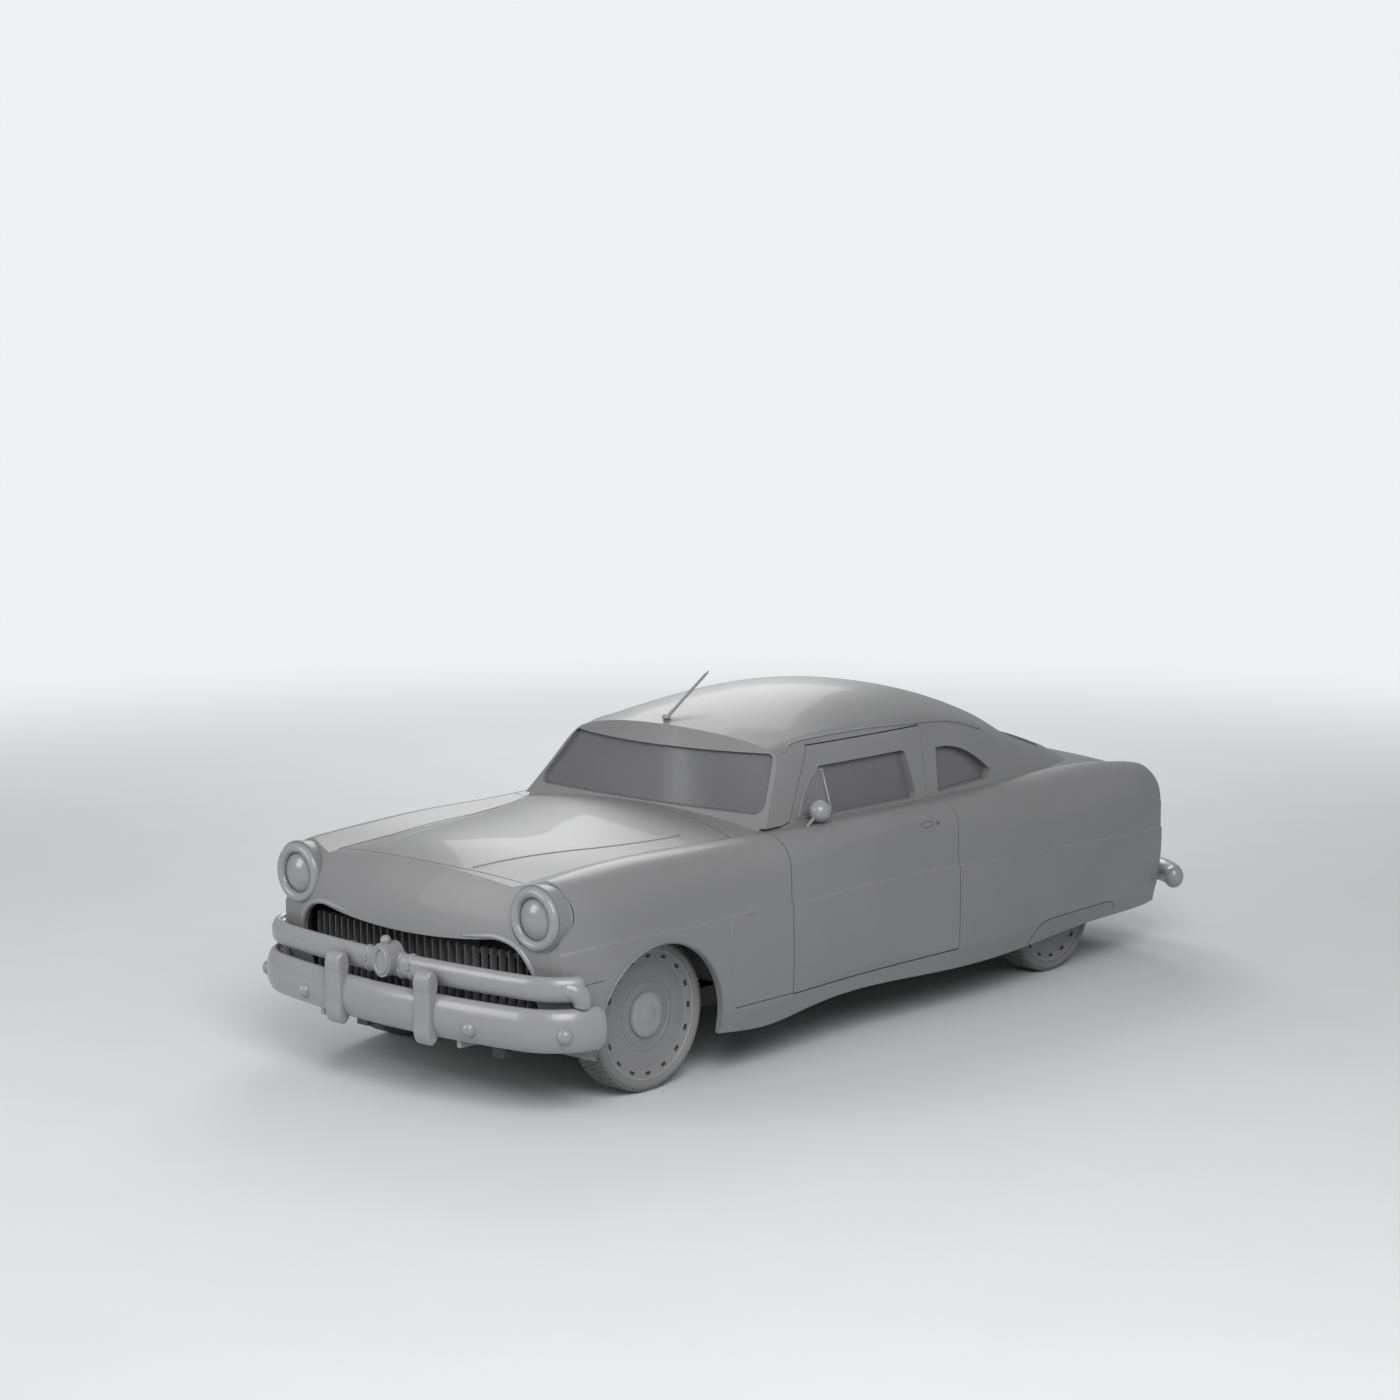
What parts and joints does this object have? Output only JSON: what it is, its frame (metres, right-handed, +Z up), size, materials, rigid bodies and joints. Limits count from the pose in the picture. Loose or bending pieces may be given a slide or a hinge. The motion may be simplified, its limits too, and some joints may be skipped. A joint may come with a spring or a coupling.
{
  "type": "two-door 1950s coupe car",
  "caption": "Full-size two-door closed coupe of the early 1950s with a low fastback roof, opening doors, hood and trunk lid, skirted rear wheels and heavy bumpers.",
  "frame": {"origin": "on the ground, below the middle of the bounding box", "axes": "+X to the car's left side, +Y to the tail, +Z up"},
  "size_m": [2.0514, 5.1399, 1.668],
  "materials": {
    "body": "satin grey paint",
    "bright_metal": "smooth grey, slightly glossy",
    "dark_metal": "matt dark grey",
    "glass": "smoky grey",
    "lamp_glass": "smooth grey",
    "underbody": "matt",
    "iron": "matt",
    "trim": "matt",
    "seat": "woven grey cloth",
    "tyre": "matt",
    "wheel": "satin"
  },
  "bodies": {
    "shell": {"roof": "body", "nose_panel": "body", "cowl": "body", "fender_left": "body", "fender_right": "body", "rear_body": "body", "fender_skirts": "body", "fixed_glass": "glass", "front_bumper": "bright_metal", "rear_bumper": "bright_metal", "grille_bar": "bright_metal", "grille": "dark_metal", "headlamp_bezels": "bright_metal", "headlamp_lenses": "lamp_glass", "tail_lamps": "lamp_glass", "antenna": "bright_metal", "floor_pan": "underbody", "frame_rails": "underbody", "engine": "iron", "radiator": "iron", "fuel_tank": "underbody", "exhaust": "underbody", "dashboard": "trim", "steering_wheel": "trim", "front_bench": "seat", "rear_bench": "seat", "front_suspension": "iron", "rear_axle": "iron"},
    "hood": {"hood": "body"},
    "trunk_lid": {"trunk_lid": "body"},
    "door_left": {"door_left": "body", "door_glass_left": "glass", "door_mirror": "bright_metal"},
    "door_right": {"door_right": "body", "door_glass_right": "glass"},
    "knuckle_left": {"knuckle_left": "iron"},
    "knuckle_right": {"knuckle_right": "iron"},
    "wheel_front_left": {"tyre_front_left": "tyre", "wheel_front_left": "wheel"},
    "wheel_front_right": {"tyre_front_right": "tyre", "wheel_front_right": "wheel"},
    "wheel_rear_left": {"tyre_rear_left": "tyre", "wheel_rear_left": "wheel"},
    "wheel_rear_right": {"tyre_rear_right": "tyre", "wheel_rear_right": "wheel"}
  },
  "joints": [
    {"name": "hood_hinge", "type": "hinge", "parent": "shell", "child": "hood", "pos_m": [0, -0.959, 1.09], "axis": [-1, 0, 0], "range_deg": [0, 50]},
    {"name": "trunk_hinge", "type": "hinge", "parent": "shell", "child": "trunk_lid", "pos_m": [0, 1.982, 1.07], "axis": [1, 0, 0], "range_deg": [0, 55]},
    {"name": "door_left_hinge", "type": "hinge", "parent": "shell", "child": "door_left", "pos_m": [0.981, -0.912, 0.6], "axis": [0, 0, -1], "range_deg": [0, 65]},
    {"name": "door_right_hinge", "type": "hinge", "parent": "shell", "child": "door_right", "pos_m": [-0.981, -0.912, 0.6], "axis": [0, 0, 1], "range_deg": [0, 65]},
    {"name": "steer_left", "type": "hinge", "parent": "shell", "child": "knuckle_left", "pos_m": [0.64, -1.708, 0.342], "axis": [0, 0, 1], "range_deg": [-28, 28]},
    {"name": "steer_right", "type": "hinge", "parent": "shell", "child": "knuckle_right", "pos_m": [-0.64, -1.708, 0.342], "axis": [0, 0, 1], "range_deg": [-28, 28]},
    {"name": "spin_front_left", "type": "hinge", "parent": "knuckle_left", "child": "wheel_front_left", "pos_m": [0.747, -1.708, 0.342], "axis": [1, 0, 0], "continuous": true},
    {"name": "spin_front_right", "type": "hinge", "parent": "knuckle_right", "child": "wheel_front_right", "pos_m": [-0.747, -1.708, 0.342], "axis": [1, 0, 0], "continuous": true},
    {"name": "spin_rear_left", "type": "hinge", "parent": "shell", "child": "wheel_rear_left", "pos_m": [0.709, 1.385, 0.342], "axis": [1, 0, 0], "continuous": true},
    {"name": "spin_rear_right", "type": "hinge", "parent": "shell", "child": "wheel_rear_right", "pos_m": [-0.709, 1.385, 0.342], "axis": [1, 0, 0], "continuous": true}
  ],
  "couplings": [
    {"joint": "steer_right", "follows": "steer_left", "ratio": 1}
  ]
}
